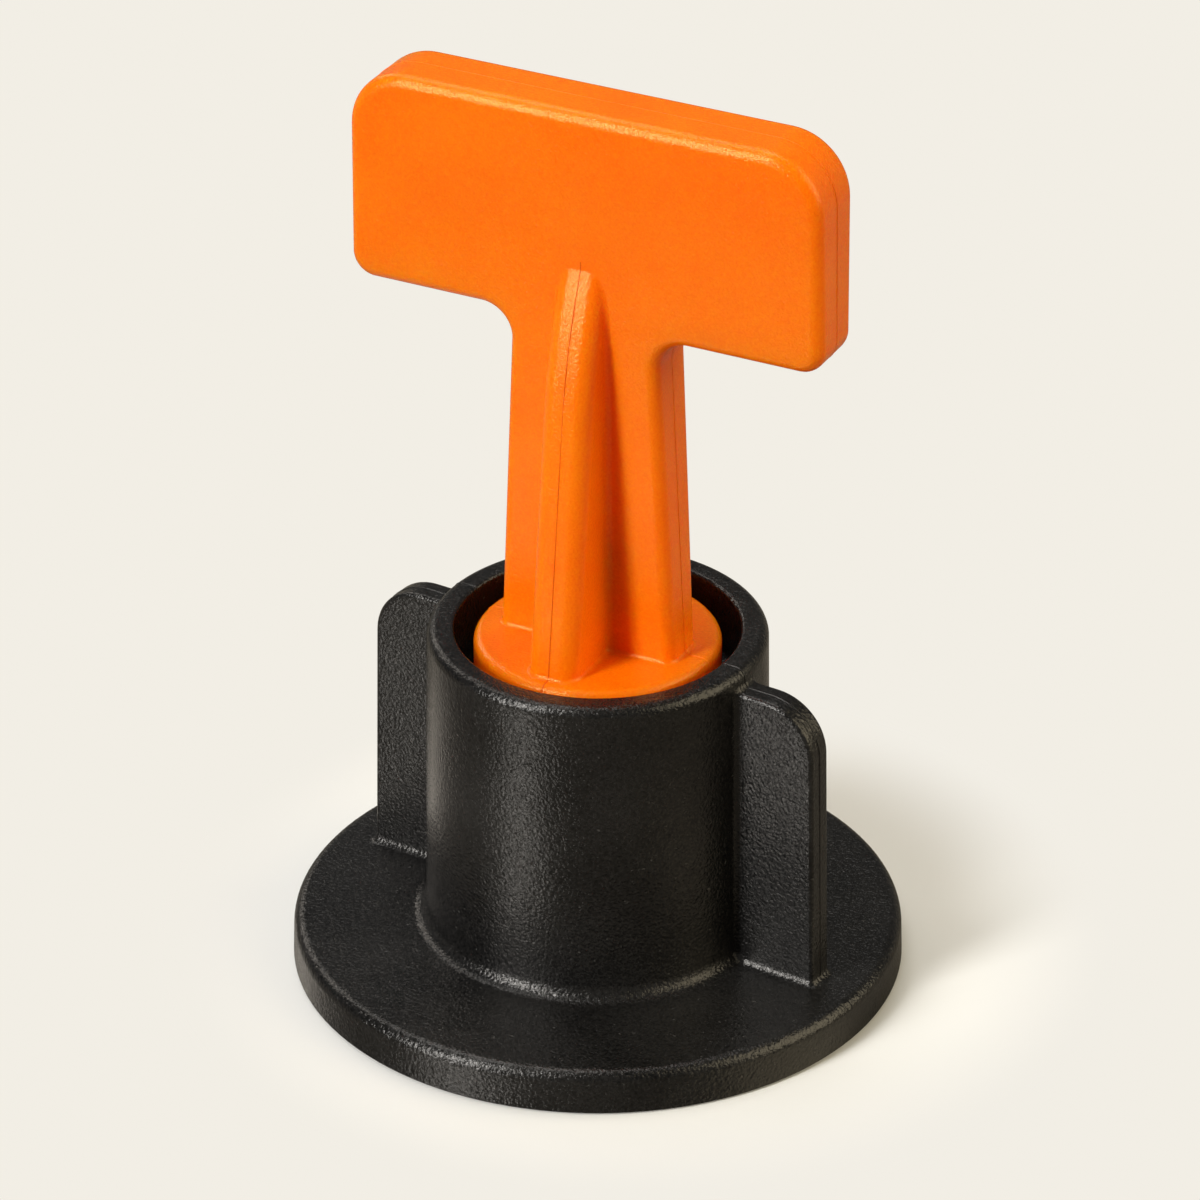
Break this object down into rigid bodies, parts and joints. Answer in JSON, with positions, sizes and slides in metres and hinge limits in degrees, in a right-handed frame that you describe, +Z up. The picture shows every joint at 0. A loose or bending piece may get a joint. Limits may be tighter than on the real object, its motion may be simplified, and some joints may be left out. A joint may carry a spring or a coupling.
{
  "type": "tile levelling clip",
  "caption": "Reusable tile levelling clip: a round flange with a winged threaded sleeve that is turned to draw up a T-handle and its hooked pin.",
  "frame": {"origin": "on the tile's surface, on the common axis of base, handle and pin", "axes": "+Z up along the axis; X through the wings of the base; the handle stands turned 5.3 degrees about +Z from the wings"},
  "size_m": [0.04, 0.04, 0.0608],
  "materials": {
    "base_plastic": "black, fine moulded grain",
    "handle_plastic": "orange, satin with a very fine grain",
    "ring_plastic": "dark grey, smooth",
    "pin_steel": "bright strip, lightly brushed"
  },
  "bodies": {
    "ring": {"glide_ring": "ring_plastic"},
    "nut": {"base_nut": "base_plastic"},
    "handle": {"t_handle": "handle_plastic", "t_pin": "pin_steel"}
  },
  "joints": [
    {"name": "nut_turn", "type": "hinge", "parent": "ring", "child": "nut", "pos_m": [0, 0, 0], "axis": [0, 0, 1], "range_deg": [0, 1512]},
    {"name": "handle_travel", "type": "slide", "parent": "ring", "child": "handle", "axis": [0, 0, 1], "range_m": [-0.0126, 0]}
  ],
  "couplings": [
    {"joint": "handle_travel", "follows": "nut_turn", "m_per_rad": -0.00047746}
  ]
}
